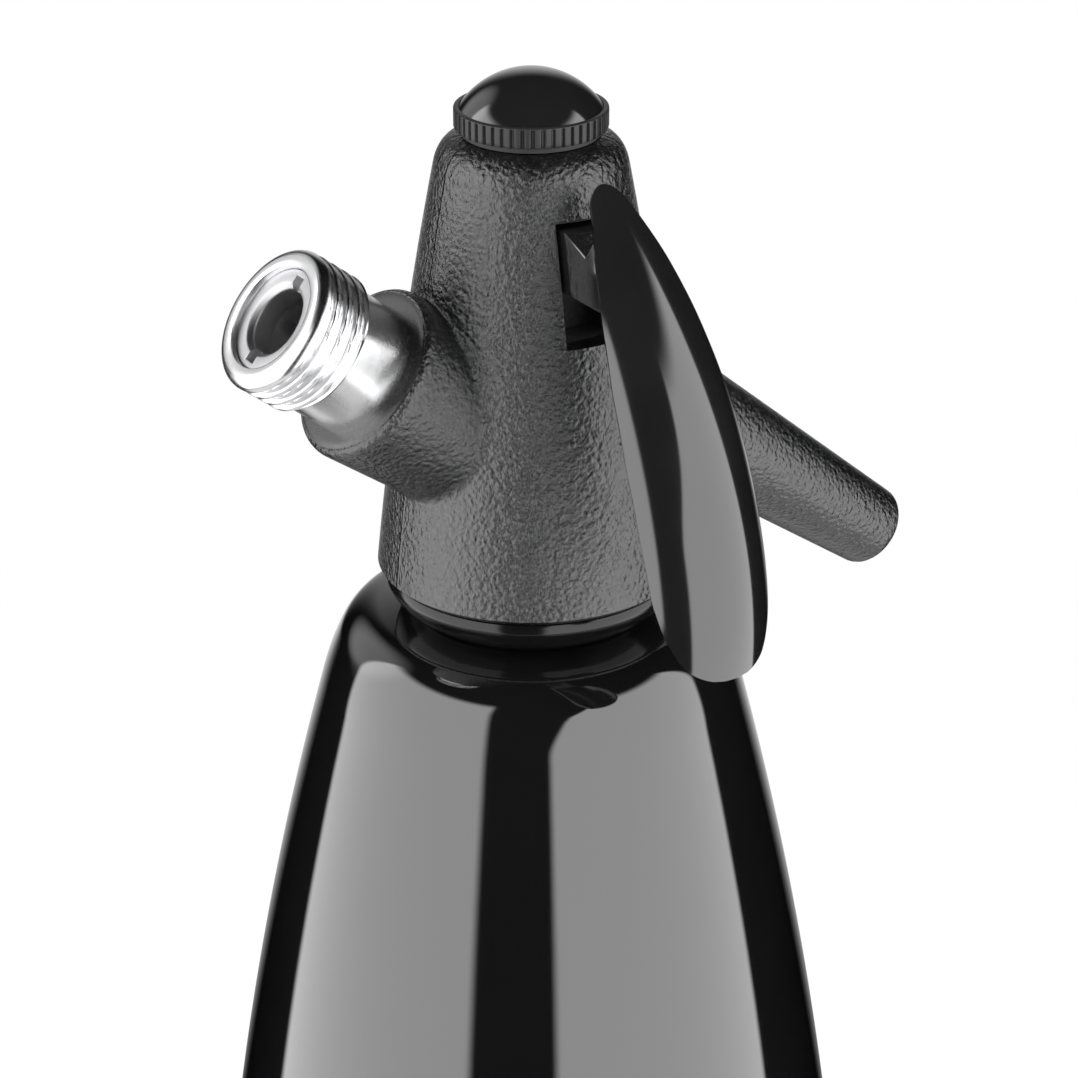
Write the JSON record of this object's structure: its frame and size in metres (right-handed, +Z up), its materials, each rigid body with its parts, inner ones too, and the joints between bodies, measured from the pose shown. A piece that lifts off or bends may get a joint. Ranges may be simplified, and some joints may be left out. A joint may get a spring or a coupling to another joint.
{
  "type": "soda siphon",
  "caption": "Soda siphon: lacquered pressure bottle with an unscrewing head, squeeze lever, tapered spout, threaded charger nipple and knurled cap.",
  "frame": {"origin": "middle of the ring the bottle stands on", "axes": "+Z up along the bottle, +X towards the spout, -X towards the charger nipple, -Y towards the lever"},
  "size_m": [0.1234, 0.1084, 0.2837],
  "materials": {
    "lacquer": "high gloss lacquer",
    "gloss_black": "polished",
    "leather_grain": "coarse leather grain",
    "satin_black": "satin",
    "seal_rubber": "matt",
    "white_plastic": "moulded",
    "tube_plastic": "translucent look",
    "brass": "turned",
    "steel": "drawn",
    "bright_metal": "bright turned"
  },
  "bodies": {
    "bottle": {"bottle": "lacquer", "neck_collar": "gloss_black"},
    "gasket": {"head_gasket": "seal_rubber"},
    "washer": {"slip_washer": "white_plastic"},
    "head": {"head_body": "leather_grain", "dip_tube": "tube_plastic", "tube_nut": "white_plastic", "valve_seat": "brass", "stem_seal": "seal_rubber", "gland_bush": "brass", "valve_spring": "steel", "charger_nipple": "bright_metal", "pin_retainer": "bright_metal", "piercing_pin": "steel", "charger_seal": "seal_rubber", "check_disc": "seal_rubber", "spout_liner": "steel", "spout_nozzle": "satin_black", "lever_pin": "steel"},
    "lever": {"lever": "gloss_black"},
    "valve": {"valve_stem": "steel", "valve_seal": "seal_rubber"},
    "cap_seal": {"cap_seal": "seal_rubber"},
    "cap": {"cap_ring": "satin_black", "cap_dome": "gloss_black"}
  },
  "joints": [
    {"name": "head_lift", "type": "slide", "parent": "bottle", "child": "gasket", "axis": [0, 0, 1], "range_m": [0, 0.215]},
    {"name": "head_rise", "type": "slide", "parent": "gasket", "child": "washer", "axis": [0, 0, 1], "range_m": [0, 0.0121]},
    {"name": "head_turn", "type": "hinge", "parent": "washer", "child": "head", "pos_m": [0, 0, 0.205], "axis": [0, 0, 1], "range_deg": [0, 1080]},
    {"name": "lever_press", "type": "hinge", "parent": "head", "child": "lever", "pos_m": [0, -0.01, 0.2596], "axis": [1, 0, 0], "range_deg": [0, 12], "stiffness_Nm_per_rad": 1.2, "springref_deg": -14.32},
    {"name": "valve_lift", "type": "slide", "parent": "head", "child": "valve", "axis": [0, 0, 1], "range_m": [0, 0.0022], "deforming": ["valve_spring"]},
    {"name": "cap_rise", "type": "slide", "parent": "head", "child": "cap_seal", "axis": [0, 0, 1], "range_m": [0, 0.0061]},
    {"name": "cap_turn", "type": "hinge", "parent": "cap_seal", "child": "cap", "pos_m": [0, 0, 0.275], "axis": [0, 0, 1], "range_deg": [0, 1440]}
  ],
  "couplings": [
    {"joint": "head_rise", "follows": "head_turn", "m_per_rad": 0.00063662},
    {"joint": "valve_lift", "follows": "lever_press", "m_per_rad": 0.01},
    {"joint": "cap_rise", "follows": "cap_turn", "m_per_rad": 0.00023873}
  ]
}
